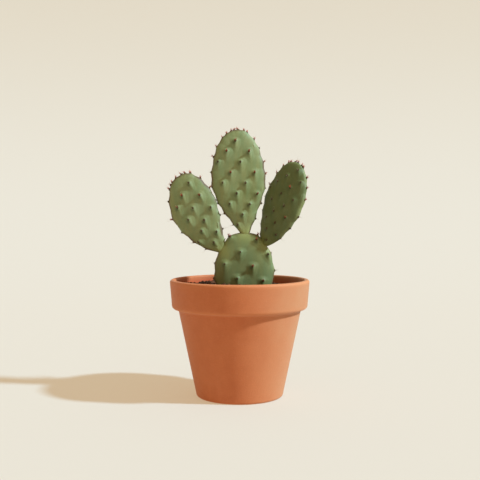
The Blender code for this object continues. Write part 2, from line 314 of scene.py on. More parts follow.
def make_terracotta(name, light, dark):
    """Fired clay: soft clouds of two tones, a sandy grain, a few pale and dark specks, and turning lines.

    Inside the pot it is painted darker and redder, as shade with some damp. Its outer corners are painted
    lighter, for worn clay and bounced light, and its right side paler, for the key light falling there.
    """
    material, tree, shader = new_material(name, 0.35)
    place, clouds, grain, specks = mottled(tree, 26 * MM, 0.55 * MM, 3.2 * MM)
    _, patches, fine, dark_specks = mottled(tree, 7 * MM, 0.3 * MM, 1.7 * MM)
    color = blend_colors(tree, clouds, dark, light)
    color = tint(tree, color, patches, 0.35, times(light, 1.08))
    color = tint(tree, color, grain, 0.28, times(dark, 0.72))
    color = tint(tree, color, specks, 0.10, (0.66, 0.30, 0.16))
    color = tint(tree, color, dark_specks, 0.15, times(dark, 0.55))
    # Painted light: the right side, where the key light falls, is painted paler and yellower, more where the
    # clouds are light.
    lit_side = ease_between(tree, add_node(tree, "SeparateXYZ", {0: place}).outputs["X"], -5 * MM, 55 * MM)
    lit_side_amount = math_node(tree, "MULTIPLY_ADD", clouds, 0.25, 0.65)
    color = tint(tree, color, lit_side, lit_side_amount, (0.482, 0.216, 0.095))
    # Painted light with some wear: the lip and the band's lower edge are painted a lighter orange, for worn
    # clay and the light bounced up from the floor.
    color = tint(tree, color, point_value(tree, "wear_and_bounce_glow"), 0.5, (0.68, 0.225, 0.075))
    # Painted shade, with some damp: the inside of the pot is painted darker and redder below the lip.
    color = blend_colors(tree, point_value(tree, "inside"), color, (0.94, 0.58, 0.42), "MULTIPLY")
    tree.links.new(color, shader.inputs["Base Color"])
    stretch = add_node(tree, "Mapping", {"Vector": place, "Scale": (12.0, 12.0, 900.0)})
    lines = add_node(tree, "TexNoise", {"Vector": stretch.outputs[0], "Scale": 1.0, "Detail": 3.0})
    height = weighted_sum(tree, (lines.outputs[0], 0.3), (grain, 0.45), (fine, 0.25))
    texture(tree, shader, height, 0.24 * MM, 0.5, 0.8, 0.55)
    shader.inputs["Sheen Weight"].default_value = 0.15
    shader.inputs["Sheen Roughness"].default_value = 0.5
    shader.inputs["Sheen Tint"].default_value = (1.0, 0.80, 0.58, 1.0)
    return material


def dress_node(name, material):
    """Gives a solid that keeps its own shape its material."""
    nodes[name].data.materials.clear()
    nodes[name].data.materials.append(material)


terracotta = make_terracotta("terracotta", (0.605, 0.166, 0.050), (0.562, 0.142, 0.039))
profile = pot_profile()
wall = revolve(profile, POT_AROUND)
turn = np.arange(POT_AROUND) * 2 * np.pi / POT_AROUND
sway = unevenness * waves(6, 3, 3 * np.cos(turn), 3 * np.sin(turn), wall[..., 2] / (14 * MM))
sway[profile[:, 1] < 1 * MM] = 0
wall[..., :2] *= 1 + (sway / np.hypot(wall[..., 0], wall[..., 1]))[..., None]
pot_mesh = mesh_from("terracotta_pot", wall.reshape(-1, 3), grid_quads(len(profile), POT_AROUND, True))
after_hole = np.arange(len(profile)) > np.argmin(profile[:, 0])
# The mask for the painted shade inside: 0 outside and at the lip, rising to 1 further down the inside.
inside = after_hole * np.clip((pot_height - 1.0 * MM - profile[:, 1]) / inside_shade_depth, 0, 1)
# Where the lighter orange for worn clay and painted bounce light goes: round the lip and the band's lower
# edge.
corners = np.array([(rim_radius, pot_height), (band_radius, band_bottom)])
from_corner = np.linalg.norm(profile[:, None] - corners, axis=2).min(axis=1)
set_values(pot_mesh, "inside", np.repeat(inside, POT_AROUND))
set_values(pot_mesh, "wear_and_bounce_glow", np.repeat(np.exp(-(from_corner / glow_width) ** 2), POT_AROUND))
add_piece("terracotta_pot", pot_mesh, terracotta, "terracotta", "pot")


# ---------------------------------------------------------------------------------------------------------
# The crock: a shard of an old pot, laid over the drain hole so that the soil stays in. It keeps the solid's
# own shape and only gets its clay, a little darker from damp.

dress_node("drain_crock", make_terracotta("damp_clay", (0.36, 0.15, 0.075), (0.28, 0.11, 0.05)))


# ---------------------------------------------------------------------------------------------------------
# The soil: dark potting mix that fills the pot to just under the lip, heaped a little round the plant. Its
# top is lumpy, with loose crumbs, bits of bark and a little grit lying on it.

_, soil_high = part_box("soil")
soil_crown = soil_high.z + 0.3 * MM
soil_edge = soil_crown - 3.0 * MM
soil_radius = lip_inner_radius - 0.6 * MM
soil_gap = 0.4 * MM                     # between the soil and the pot's wall and floor
soil_tilt = 1.3 * MM                    # how much higher the soil is at the back left than in the middle
lump_height, swell_height = 0.45 * MM, 0.6 * MM
crock_room = 12 * MM                    # radius and height of the hollow over the crock
crumb_least, crumb_most = 0.35 * MM, 1.5 * MM
crumb_reach = 0.985                     # of the soil's radius
SOIL_AROUND = 288
SOIL_RINGS = 92
CRUMBS = 1300


def soil_height(x, y):
    """A low cosine heap from the wall to the middle, higher at the back left, with lumps of three sizes."""
    radius = np.clip(np.hypot(x, y) / soil_radius, 0, 1)
    heap = soil_edge + (soil_crown - soil_edge) * (0.5 + 0.5 * np.cos(np.pi * radius)) ** 2
    heap = heap + soil_tilt * (0.7 * y - 0.7 * x) / soil_radius
    lumps = 0.55 * waves(9, 11, x / (1.6 * MM), y / (1.6 * MM))
    lumps = lumps + 0.45 * waves(9, 12, x / (0.8 * MM), y / (0.8 * MM))
    swell = waves(6, 13, x / (5 * MM), y / (5 * MM))
    return heap + lump_height * lumps + swell_height * swell


def soil_surface():
    """The lumpy top as rings from the middle out, then down the pot's inside and in along its floor."""
    rings = np.linspace(0, 1, SOIL_RINGS)[1:] * soil_radius
    angle = np.arange(SOIL_AROUND) * 2 * np.pi / SOIL_AROUND
    x, y = rings[:, None] * np.cos(angle), rings[:, None] * np.sin(angle)
    top = np.stack([x, y, soil_height(x, y)], axis=-1)
    side = inner_profile(soil_gap)[::-1]
    side = revolve(side[side[:, 1] < soil_edge - 4 * MM], SOIL_AROUND)
    under = revolve(np.array([[crock_room, floor_thickness + soil_gap]]), SOIL_AROUND)
    return np.concatenate([top, side, under])


def closed_tube(grid, first, last):
    """Faces for rings of points, closed at the ends by fans to a first and a last point."""
    rows, columns = grid.shape[:2]
    points = np.concatenate([grid.reshape(-1, 3), [first, last]])
    column = np.arange(columns)
    following = (column + 1) % columns
    start = np.stack([following, column, np.full(columns, rows * columns)], axis=1)
    base = (rows - 1) * columns
    end = np.stack([base + column, base + following, np.full(columns, rows * columns + 1)], axis=1)
    return points, grid_quads(rows, columns), np.concatenate([start, end])


def ball(around, rings):
    """A small ball of radius 1, as rings of points between two poles."""
    angle = np.arange(around) * 2 * np.pi / around
    polar = np.pi * np.arange(1, rings + 1)[:, None] / (rings + 1)
    x, y, z = np.sin(polar) * np.cos(angle), np.sin(polar) * np.sin(angle), np.cos(polar) + 0 * angle
    return closed_tube(np.stack([x, y, z], axis=-1), (0, 0, 1), (0, 0, -1))


def scatter(points, quads, triangles, places, turns):
    """Copies of one small shape. Each copy's points are turned by its own matrix and moved to its place."""
    copies = len(places)
    points = np.broadcast_to(points, (copies,) + points.shape[-2:])
    placed = np.einsum("nij,nvj->nvi", turns, points) + places[:, None, :]
    offset = (np.arange(copies) * points.shape[1])[:, None, None]
    return placed.reshape(-1, 3), (quads + offset).reshape(-1, 4), (triangles + offset).reshape(-1, 3)


def random_turns(draw, count):
    """Evenly random turns, from random unit quaternions."""
    parts = draw.normal(size=(4, count))
    w, x, y, z = parts / np.linalg.norm(parts, axis=0)
    rows = [[1 - 2 * (y * y + z * z), 2 * (x * y - z * w), 2 * (x * z + y * w)],
            [2 * (x * y + z * w), 1 - 2 * (x * x + z * z), 2 * (y * z - x * w)],
            [2 * (x * z - y * w), 2 * (y * z + x * w), 1 - 2 * (x * x + y * y)]]
    return np.moveaxis(np.array(rows), 2, 0)


def make_soil_material():
    """Dark humus: brown-black clouds, a coarse grain, and a few paler fibres."""
    material, tree, shader = new_material("soil", 0.2)
    _, clouds, grain, specks = mottled(tree, 5 * MM, 0.8 * MM, 1.8 * MM)
    color = blend_colors(tree, clouds, (0.050, 0.022, 0.012), (0.150, 0.068, 0.034))
    color = tint(tree, color, grain, 0.6, (0.018, 0.009, 0.005))
    color = tint(tree, color, specks, 0.5, (0.16, 0.075, 0.035))
    tree.links.new(color, shader.inputs["Base Color"])
    height = weighted_sum(tree, (grain, 0.5), (clouds, 0.5))
    texture(tree, shader, height, 1.0 * MM, 0.85, 1.0)
    return material


def make_crumb_material():
    """Loose bits by their own tone: up to 0.8 they are humus, above that bark, and from 0.98 pale grit."""
    material, tree, shader = new_material("soil_crumbs", 0.2)
    tone = point_value(tree, "tone")
    _, clouds, grain, _ = mottled(tree, 1.5 * MM, 0.4 * MM, 1 * MM)
    color = blend_colors(tree, tone, (0.045, 0.020, 0.010), (0.22, 0.095, 0.045))
    color = blend_colors(tree, ease_between(tree, tone, 0.80, 0.86), color, (0.26, 0.105, 0.045))
    color = blend_colors(tree, ease_between(tree, tone, 0.98, 0.985), color, (0.34, 0.25, 0.17))
    color = tint(tree, color, grain, 0.5, (0.015, 0.008, 0.005))
    tree.links.new(color, shader.inputs["Base Color"])
    height = weighted_sum(tree, (grain, 0.5), (clouds, 0.5))
    texture(tree, shader, height, 0.5 * MM, 0.8, 1.0)
    return material


soil_top, soil_bottom = (0, 0, soil_crown), (0, 0, floor_thickness + crock_room)
soil_mesh = mesh_from("potting_soil", *closed_tube(soil_surface(), soil_top, soil_bottom))
add_piece("potting_soil", soil_mesh, make_soil_material(), "soil", "soil")

reach = soil_radius * np.sqrt(chance.uniform(0, 1, CRUMBS)) * crumb_reach
heading = chance.uniform(0, 2 * np.pi, CRUMBS)
crumb_x, crumb_y = reach * np.cos(heading), reach * np.sin(heading)
crumb_size = crumb_least + (crumb_most - crumb_least) * chance.uniform(0, 1, CRUMBS) ** 2.5
crumb_place = np.stack([crumb_x, crumb_y, soil_height(crumb_x, crumb_y) + 0.3 * crumb_size], axis=1)
crumb, crumb_quads, crumb_triangles = ball(7, 4)
lumpy = crumb * chance.uniform(0.72, 1.25, (CRUMBS, len(crumb), 1)) * chance.uniform(0.6, 1.3, (CRUMBS, 1, 3))
crumb_parts = scatter(lumpy * crumb_size[:, None, None], crumb_quads, crumb_triangles, crumb_place,
                      random_turns(chance, CRUMBS))
crumb_mesh = mesh_from("soil_crumbs", *crumb_parts, smooth=False)
set_values(crumb_mesh, "tone", np.repeat(chance.uniform(0, 1, CRUMBS), len(crumb)))
add_piece("soil_crumbs", crumb_mesh, make_crumb_material(), "soil")


# ---------------------------------------------------------------------------------------------------------
# The roots: pale brown and woody, hidden in the soil under the base pad. They keep the solid's own shape and
# get their bark.

def make_root_material():
    """Bark: two browns in clouds, with a fine grain and dark specks."""
    material, tree, shader = new_material("root_bark", 0.2)
    _, clouds, grain, specks = mottled(tree, 4 * MM, 0.5 * MM, 1.5 * MM)
    color = blend_colors(tree, clouds, (0.24, 0.15, 0.08), (0.40, 0.28, 0.16))
    color = tint(tree, color, specks, 0.5, (0.08, 0.045, 0.025))
    tree.links.new(color, shader.inputs["Base Color"])
    texture(tree, shader, grain, 0.2 * MM, 0.8, 0.95)
    return material


dress_node("roots", make_root_material())


# ---------------------------------------------------------------------------------------------------------
# The pads: flat, fleshy, oval stems with a waxy grey-green skin. Each narrows to a neck where it grew out of
# the pad below. The skin rises in rows of blunt, drawn-down humps, each with a spine cushion at its top.

PAD_AROUND = 312
PAD_ALONG = 236
FACE_ROUND = 2.5
OUTLINE_ROUND = 2.12
EDGE_ROUND = 3.4
SKIN_DEPTH = 0.8 * MM               # how far the skin between the humps lies inside the solid
SKIN_WAVES = 0.22 * MM
EDGE_LIFT = 1.05 * MM               # how far a cushion on the edge stands out
NECK_SHARE = 0.06                   # of the length, over which the neck flares
BACK_STEP = (3.5, 4.0)              # mm, from a cushion in front to the one behind it
# A hump's reach from its cushion in mm: to either side, up the pad, and down it.
MOUND_REACH = (6.0, 4.2, 10.5)
PEAK_REACH = (2.5, 2.0, 6.5)
EDGE_REACH = (4.2, 6.8)             # across the edge, and along it
FACE_DEPTH = 5                      # mm, so that a hump on one face does not raise the other
# The painted shadow beside a hump's cushion, in mm: how far aside and below, and its width, height and depth.
SHADOW_ASIDE, SHADOW_BELOW = 1.1, 1.3
SHADOW_SIZE = (1.5, 1.6, 4)
BROWN_RING = 1.4 * MM               # round a cushion
LOWEST, HIGHEST = 0.07, 0.94        # share of the length that has cushions on its faces
FACE_SCATTER = 0.45 * MM            # how far they stray from the lattice
EDGE_SCATTER = 1.5                  # degrees
HUMP_LIMIT = 14 * MM                # skin further than this from a cushion is not raised by it
JOINT_WIDTH = 7 * MM


def pad_shape(solid, lean, turn, waist, shoulder, bow, bow_power, hump, flare, margin, top_margin, shift,
              sunk, tip_shift=0, **cushion_rows):
    """A pad's sizes, measured from its solid. Lean and turn are in degrees and lengths in mm.

    The pad narrows to its neck by the waist, up to the shoulder's share of its length. Its center line bends
    sideways by the bow, lower for a lower bow_power, and its tip by tip_shift. The margins are how far the
    outline lies inside the solid's at its sides and top, and flare is how far it swells at the neck. The
    whole pad is moved sideways by shift, and sunk into the pad below.
    """
    lean_angle, turn_angle = math.radians(lean), math.radians(turn)
    c, s = math.cos(lean_angle), math.sin(lean_angle)
    leaned = np.array([[c, 0, s], [0, 1, 0], [-s, 0, c]])
    c, s = math.cos(turn_angle), math.sin(turn_angle)
    axes = leaned @ np.array([[c, -s, 0], [s, c, 0], [0, 0, 1]])
    mesh = nodes[solid].data
    points = np.zeros(len(mesh.vertices) * 3)
    mesh.vertices.foreach_get("co", points)
    points = points.reshape(-1, 3) @ axes
    low, high = points.min(axis=0), points.max(axis=0)
    pad = {"axes": axes, "waist": waist, "shoulder": shoulder, "bow": bow * MM,
           "bow_power": bow_power, "tip_shift": tip_shift * MM, "hump": hump * MM,
           "flare": flare * MM, "margin": margin * MM, "top_margin": top_margin * MM,
           "width": high[0] - low[0], "thickness": high[1] - low[1], "length": high[2] - low[2] + sunk * MM,
           **cushion_rows}
    share = np.linspace(0, 1, 400)
    center, half_width, _ = section(pad, share)
    drawn = (center + half_width).max() - (center - half_width).min()
    pad["width"] *= pad["width"] / drawn
    center, half_width, _ = section(pad, share)
    neck_x = high[0] - (center + half_width).max() + shift * MM
    pad["neck"] = np.array([neck_x, (low[1] + high[1]) / 2, low[2] - sunk * MM])
    return pad


def section(pad, share):
    """Center line, half width and half thickness at a share of the length.

    The half width is a rounded outline, one minus the distance from the middle to a power, times a
    narrowing towards the neck. The half thickness keeps up to the edge with a higher power. The center line
    is half a sine wave of the share to the bow power, and the tip's shift times the share cubed.
    """
    middle = np.abs(2 * share - 1).clip(0, 1)
    narrowing = 1 - pad["waist"] * np.clip(1 - share / pad["shoulder"], 0, 1) ** 1.5
    outline = (1 - middle ** OUTLINE_ROUND) ** (1 / OUTLINE_ROUND)
    edge = (1 - middle ** EDGE_ROUND) ** (1 / EDGE_ROUND)
    center = pad["bow"] * np.sin(np.pi * share ** pad["bow_power"]) + pad["tip_shift"] * share ** 3
    half_thickness = pad["thickness"] / 2 * edge * (0.5 + 0.5 * narrowing)
    return center, pad["width"] / 2 * outline * narrowing, half_thickness


def pad_point(pad, share, across, side):
    """A point of the skin. across goes from -1 to 1 over the width, and side is -1 in front and 1 behind.

    The thickness falls off from the middle as (1 - |across| ** FACE_ROUND) ** (1 / FACE_ROUND). The skin
    lies a little inside the solid, and swells out again by the pad's flare at the neck.
    """
    center, half_width, half_thickness = section(pad, share)
    at_neck = np.exp(-(share / NECK_SHARE) ** 1.5)
    inset = SKIN_DEPTH - (SKIN_DEPTH + pad["flare"]) * at_neck
    side_inset = pad["margin"] - (pad["margin"] + pad["flare"]) * at_neck
    bulge = (1 - np.abs(across) ** FACE_ROUND).clip(0) ** (1 / FACE_ROUND)
    x = center + np.maximum(half_width - side_inset, 0) * across
    y = side * np.maximum(half_thickness - inset, 0) * bulge
    z = (pad["length"] - pad["top_margin"]) * share
    return np.stack(np.broadcast_arrays(x, y, z), axis=-1)


def unit(vectors):
    """Each vector over its own length."""
    return vectors / np.maximum(np.linalg.norm(vectors, axis=-1, keepdims=True), 1e-12)


def pad_skin(pad):
    """Rings of skin from the neck to the tip. A sine wave on the angle spreads the steps round a ring."""
    step = np.arange(PAD_AROUND) * 2 * np.pi / PAD_AROUND
    angle = step + 0.16 * np.sin(2 * step)
    polar = np.pi * np.arange(1, PAD_ALONG + 1)[:, None] / (PAD_ALONG + 1)
    share = (1 - np.cos(polar)) / 2
    return pad_point(pad, share, np.cos(angle), np.where(np.sin(angle) > 0, 1, -1))


def face_places(pad, side, draw):
    """The cushions' places on one face: a slanted lattice of two steps, kept clear of the edge.

    Towards the neck the lattice is squeezed sideways. Each place is a share of the length and one across.
    """
    i, j = np.meshgrid(np.arange(-9, 10), np.arange(-7, 8))
    start = np.array(pad["face_start"]) + (BACK_STEP if side > 0 else (0, 0))
    spot = start + i[..., None] * np.array(pad["side_step"]) + j[..., None] * np.array(pad["down_step"])
    spot = spot.reshape(-1, 2) * MM
    share = spot[:, 1] / pad["length"]
    on_pad = (share > LOWEST) & (share < HIGHEST)
    spot, share = spot[on_pad], share[on_pad]
    spot = spot + draw.normal(0, FACE_SCATTER, spot.shape)
    center, half_width, _ = section(pad, share)
    squeeze = 0.55 + 0.45 * np.clip(share / 0.5, 0, 1)
    across = spot[:, 0] * squeeze / half_width
    kept = np.abs(across) < 1 - pad["clearance"] * MM / half_width
    return share[kept], (across * (1 - 0.1 * np.abs(across) ** 6))[kept]


def edge_places(pad, draw):
    """Share of the length and side of the cushions round the edge, from their angles about the outline."""
    angle = np.radians(np.array(pad["edge_turns"]) + draw.normal(0, EDGE_SCATTER, len(pad["edge_turns"])))
    return (1 - np.cos(angle)) / 2, -np.sign(np.sin(angle))


def cushion_frames(pad, draw):
    """Each cushion's place on the skin, its directions outwards and up the pad, whether it is on the edge,
    how far its hump rises, and how strong the tones round it are.
    """
    places, outward, upward, is_edge = [], [], [], []
    small = 1e-3
    for side in (-1, 1):
        share, across = face_places(pad, side, draw)
        here = pad_point(pad, share, across, side)
        up = unit(pad_point(pad, share + small, across, side) - here)
        right = unit(pad_point(pad, share, across + small, side) - here)
        places.append(here)
        outward.append(unit(np.cross(right, up)) * -side)
        upward.append(up)
        is_edge.append(np.zeros(len(here)))
    share, across = edge_places(pad, draw)
    here = pad_point(pad, share, across, 1)
    ahead = pad_point(pad, share + small, across, 1)
    behind = pad_point(pad, share - small, across, 1)
    along = unit(ahead - behind)
    outside = unit(np.stack([along[:, 2] * across, 0 * across, -along[:, 0] * across], axis=-1))
    places.append(here)
    outward.append(outside)
    upward.append(along)
    is_edge.append(np.ones(len(here)))
    place, out, up, is_edge = (np.concatenate(part) for part in (places, outward, upward, is_edge))
    size = draw.uniform(0.8, 1.15, len(place)) * np.minimum(1, 0.45 + 3 * place[:, 2] / pad["length"])
    tone = draw.uniform(0.6, 1.0, len(place))
    return place, out, up, is_edge, size * np.where(is_edge > 0, EDGE_LIFT, pad["hump"]), tone


def reach_share(sideways, rise, reach):
    """How far a point is from a cushion, where 1 is the hump's reach. The hump gets narrower below it."""
    beside, above, below = reach
    narrow = 1 - 0.45 * np.clip(-rise / 9, 0, 1)
    return np.hypot(sideways / (beside * narrow), rise / np.where(rise > 0, above, below)).clip(0, 1)


def raise_humps(points, frames):
    """How far the skin rises at each point, how near a cushion it is, and how much painted shadow lies there.

    On the faces a hump is a broad mound, (1 - distance ** 2) ** 2, with a peak on it, (1 - distance) ** 1.3.
    The distance is counted in reaches, short above the cushion and to its sides and long below it, which
    draws the hump down. Round the edge it is a tent, so that the outline runs almost straight between them.
    """
    height = np.zeros(len(points))
    near = np.zeros(len(points))
    painted_shadow = np.zeros(len(points))
    for place, out, up, is_edge, top, tone in zip(*frames):
        apart = points - place
        close = np.nonzero(np.einsum("ij,ij->i", apart, apart) < HUMP_LIMIT ** 2)[0]
        apart = apart[close]
        side = np.cross(up, out)
        rise, sideways, depth = apart @ up / MM, apart @ side / MM, apart @ out / MM
        if is_edge:
            distance = np.hypot(sideways / EDGE_REACH[0], rise / EDGE_REACH[1]).clip(0, 1)
            lift = top * (1 - distance) ** 1.15
        else:
            mound = reach_share(sideways, rise, MOUND_REACH)
            peak = reach_share(sideways, rise, PEAK_REACH)
            lift = top * (0.45 * (1 - mound ** 2) ** 2 + 0.55 * (1 - peak) ** 1.3)
            lift = np.where(np.abs(depth) < FACE_DEPTH, lift, 0)
        height[close] = np.maximum(height[close], lift)
        spot = np.exp(-(apart ** 2).sum(axis=1) / BROWN_RING ** 2)
        near[close] = np.maximum(near[close], tone * spot)
        if not is_edge:                     # painted shadow just below the cushion, to the side where shade falls
            wide, high, deep = SHADOW_SIZE
            aside = (SHADOW_ASIDE - np.sign(out[1]) * sideways) / wide
            shadow_spot = np.exp(-aside ** 2 - ((rise + SHADOW_BELOW) / high) ** 2 - (depth / deep) ** 2)
            painted_shadow[close] = np.maximum(painted_shadow[close], tone * shadow_spot)
    return height, near, painted_shadow


def near_joint(points):
    """1 at the nearest neck of a young pad, falling off as a bell."""
    necks = [pad["axes"] @ pad["neck"] for pad in pads.values() if pad is not pads["base"]]
    apart = np.array([np.linalg.norm(points - neck, axis=1) for neck in necks]).min(axis=0)
    return np.exp(-(apart / JOINT_WIDTH) ** 2)


def pad_mesh(name, pad, frames):
    """The skin with its humps, moved outwards along its normals, and the masks that its material reads."""
    grid = pad_skin(pad)
    bottom = pad_point(pad, np.array(0.0), np.array(0.0), 1)
    top = pad_point(pad, np.array(1.0), np.array(0.0), 1)
    rows = np.concatenate([np.broadcast_to(bottom, (1, PAD_AROUND, 3)), grid,
                           np.broadcast_to(top, (1, PAD_AROUND, 3))])
    round_step = np.roll(grid, -1, axis=1) - np.roll(grid, 1, axis=1)
    outward = unit(np.cross(round_step, rows[2:] - rows[:-2]))
    flat = grid.reshape(-1, 3)
    height, near, painted_shadow = raise_humps(flat, frames)
    soft = SKIN_WAVES * waves(8, 21, *(flat / (4 * MM)).T)
    flat = flat + outward.reshape(-1, 3) * (height + soft)[:, None]
    points, quads, triangles = closed_tube(flat.reshape(grid.shape), bottom, top)
    placed = (points + pad["neck"]) @ pad["axes"].T
    mesh = mesh_from(name, placed, quads, triangles)
    share = np.append(points[:-2, 2] / pad["length"], (0, 1))
    center, half_width, _ = section(pad, share.clip(0, 1))
    rim = np.abs(points[:, 0] - center) / np.maximum(half_width, 1 * MM)
    thin = 1 - np.abs(points[:, 1]) / (pad["thickness"] / 2)
    set_values(mesh, "joint", near_joint(placed))
    set_values(mesh, "near_cushion", np.append(near, (0, 0)))
    set_values(mesh, "painted_shadow", np.append(painted_shadow, (0, 0)))
    set_values(mesh, "rim", np.clip(np.maximum(rim, 2 * share - 1), 0, 1) * np.clip(thin, 0, 1))
    return mesh


def make_skin(name, deep, pale, bloom, rim_color, rim_amount):
    """Waxy skin: two greens in soft clouds and streaks, a pale bloom, and yellow-green at the joints.

    The rim has patches of another color: red-brown, partly the margins' own and partly painted shade on the
    rounded rim, or on the shaded pad a pale green painted as the light on its lit edge. A dark green painted
    shadow lies beside each face cushion, and the skin is brown round the cushions.
    """
    material, tree, shader = new_material(name, 0.5)
    place, clouds, grain, specks = mottled(tree, 11 * MM, 0.45 * MM, 1.3 * MM)
    _, veil, pores, _ = mottled(tree, 24 * MM, 0.22 * MM, 1 * MM)
    color = blend_colors(tree, clouds, deep, pale)
    color = tint(tree, color, veil, 0.45, bloom)
    stretch = add_node(tree, "Mapping", {"Vector": place, "Scale": (230.0, 230.0, 60.0)}).outputs[0]
    streaks = add_node(tree, "TexNoise", {"Vector": stretch, "Scale": 1.0, "Detail": 2.0}).outputs[0]
    color = tint(tree, color, ease_between(tree, streaks, 0.45, 0.7), 0.40, times(pale, (0.72, 0.92, 0.95)))
    color = tint(tree, color, ease_between(tree, streaks, 0.55, 0.3), 0.35, times(pale, (1.18, 1.05, 0.95)))
    color = tint(tree, color, grain, 0.18, times(deep, 0.6))
    color = tint(tree, color, specks, 0.12, (0.42, 0.43, 0.25))
    color = tint(tree, color, point_value(tree, "joint"), 0.65, (0.34, 0.33, 0.075))
    # The rim patches: for young and old skin a red-brown, partly the margins' own color and partly painted
    # shade on the rounded rim; for the shaded skin a pale green, a painted highlight on the lit edge.
    patches = add_node(tree, "TexNoise", {"Vector": place, "Scale": 70.0, "Detail": 2.0}).outputs[0]
    rim = math_node(tree, "MULTIPLY", ease_between(tree, point_value(tree, "rim"), 0.44, 0.72),
                    ease_between(tree, patches, 0.36, 0.60))
    color = tint(tree, color, rim, rim_amount, rim_color)
    # Painted shadow: a dark green spot below and beside each face cushion, where the hump's shade falls.
    color = tint(tree, color, point_value(tree, "painted_shadow"), 0.85, (0.044, 0.066, 0.010))
    near_cushion = ease_between(tree, point_value(tree, "near_cushion"), 0.40, 0.90)
    color = blend_colors(tree, near_cushion, color, (0.080, 0.058, 0.018))
    tree.links.new(color, shader.inputs["Base Color"])
    texture(tree, shader, weighted_sum(tree, (grain, 0.6), (pores, 0.4)), 0.13 * MM, 0.50, 0.70, 0.45)
    return material


young_skin = make_skin("young_skin", (0.190, 0.219, 0.064), (0.250, 0.276, 0.100), (0.263, 0.306, 0.146),
                       (0.120, 0.051, 0.020), 0.88)
# Painted shade: the right pad faces away from the key light, so its skin is a darker copy of the young skin.
# Its rim is a pale green painted as the light on its lit edge.
shaded_skin = make_skin("shaded_skin", (0.098, 0.121, 0.026), (0.124, 0.146, 0.038), (0.119, 0.151, 0.052),
                        (0.250, 0.262, 0.088), 0.6)
old_skin = make_skin("old_skin", (0.158, 0.187, 0.055), (0.206, 0.231, 0.077), (0.197, 0.248, 0.106),
                     (0.120, 0.060, 0.024), 0.6)
skins = {"base": old_skin, "right": shaded_skin}

# A face's first cushion and the two steps of its lattice are (across, up) from the neck in mm. The turns of
# the cushions on the edge are degrees round the outline from the neck, with the tip at 180.
pads = {
    "base": pad_shape(
        "pad_base", lean=0, turn=0, waist=0.5, shoulder=0.45, bow=0, bow_power=1, hump=1.7, flare=0.0,
        margin=0.5, top_margin=-0.8, shift=0, sunk=0, face_start=(10.2, 60.4), side_step=(-13, -9.3),
        down_step=(9.7, -11.1), clearance=0.4, red_faces=0.6, edge_turns=[88, 107, 128, 151, 207, 242, 264]),
    "center": pad_shape(
        "pad_center", lean=-5.2, turn=0, waist=0.64, shoulder=0.52, bow=-2.0, bow_power=0.8, hump=1.75,
        flare=1.2, margin=0.4, top_margin=1.3, shift=-1.5, sunk=1.8, face_start=(2.3, 58.4),
        side_step=(-7.7, -7.6), down_step=(2.9, -17.0), clearance=2.3, red_faces=0.7,
        edge_turns=[*range(40, 153, 16), 161, 168, 176, 184, 192, *range(200, 313, 16)]),
    "left": pad_shape(
        "pad_left", lean=-28, turn=-5, waist=0.58, shoulder=0.68, bow=-5.0, bow_power=0.76, hump=1.65,
        flare=0.0, margin=-0.5, top_margin=2.0, shift=-0.7, sunk=1.8, tip_shift=-2.4, face_start=(8.6, 49.4),
        side_step=(-7.7, -6.6), down_step=(4.0, -12.8), clearance=2.3, red_faces=0.4,
        edge_turns=[*range(42, 143, 20), 152, 162, 172, 182, 192, *range(202, 303, 20), 320]),
    "right": pad_shape(
        "pad_right", lean=21.5, turn=-38, waist=0.46, shoulder=0.6, bow=4.2, bow_power=0.65, hump=1.3,
        flare=-0.4, margin=0.2, top_margin=2.0, shift=0.9, sunk=1.8, tip_shift=1.8, face_start=(5.2, 51.8),
        side_step=(-7.0, -6.7), down_step=(-0.7, -15.2), clearance=2.3, red_faces=0.1,
        edge_turns=[*range(40, 149, 18), 158, 166, 175, 184, 193, *range(202, 311, 18)]),
}
cushions = {}
for seed, (name, pad) in enumerate(pads.items(), start=100):
    cushions[name] = cushion_frames(pad, np.random.default_rng(seed))
    slot = "old_pad_skin" if name == "base" else "pad_skin"
    mesh = pad_mesh(name + "_pad", pad, cushions[name])
    add_piece(name + "_pad", mesh, skins.get(name, young_skin), slot, "pad_" + name)


# ---------------------------------------------------------------------------------------------------------
# The spine cushions: a small felted brown pad at the top of each hump, with a tuft of short red-brown
# bristles. Cushions on the edges and the upper faces also carry a few fine, straw-colored spines.

CUSHION_SIZE = np.array([0.75, 1.0, 0.42]) * MM     # half its width, height and depth
CUSHION_SINK = 0.15 * MM                            # how deep its middle lies in the skin
TUFT_WIDTH = 0.35 * MM
NEEDLE_SIDES = 4
NEEDLE_BEND = 0.12


def make_felt():
    """Felt: dark brown clouds with paler hairs."""
    material, tree, shader = new_material("cushion_felt", 0.15)
    _, clouds, grain, _ = mottled(tree, 1.5 * MM, 0.25 * MM, 1 * MM)
    color = blend_colors(tree, clouds, (0.040, 0.028, 0.010), (0.10, 0.062, 0.022))
    color = tint(tree, color, grain, 0.4, (0.22, 0.17, 0.09))
    tree.links.new(color, shader.inputs["Base Color"])
    texture(tree, shader, grain, 0.15 * MM, 0.85, 1.0)
    return material


def make_spine_material(name, root, tip, roughness):
    """A spine's color goes over from its root to its tip."""
    material, tree, shader = new_material(name, 0.4)
    _, clouds, grain, _ = mottled(tree, 3 * MM, 0.3 * MM, 1 * MM)
    color = blend_colors(tree, point_value(tree, "along"), root, tip)
    color = tint(tree, color, clouds, 0.35, times(root, 0.6))
    tree.links.new(color, shader.inputs["Base Color"])
    texture(tree, shader, grain, 0.04 * MM, roughness - 0.1, roughness + 0.1)
    return material


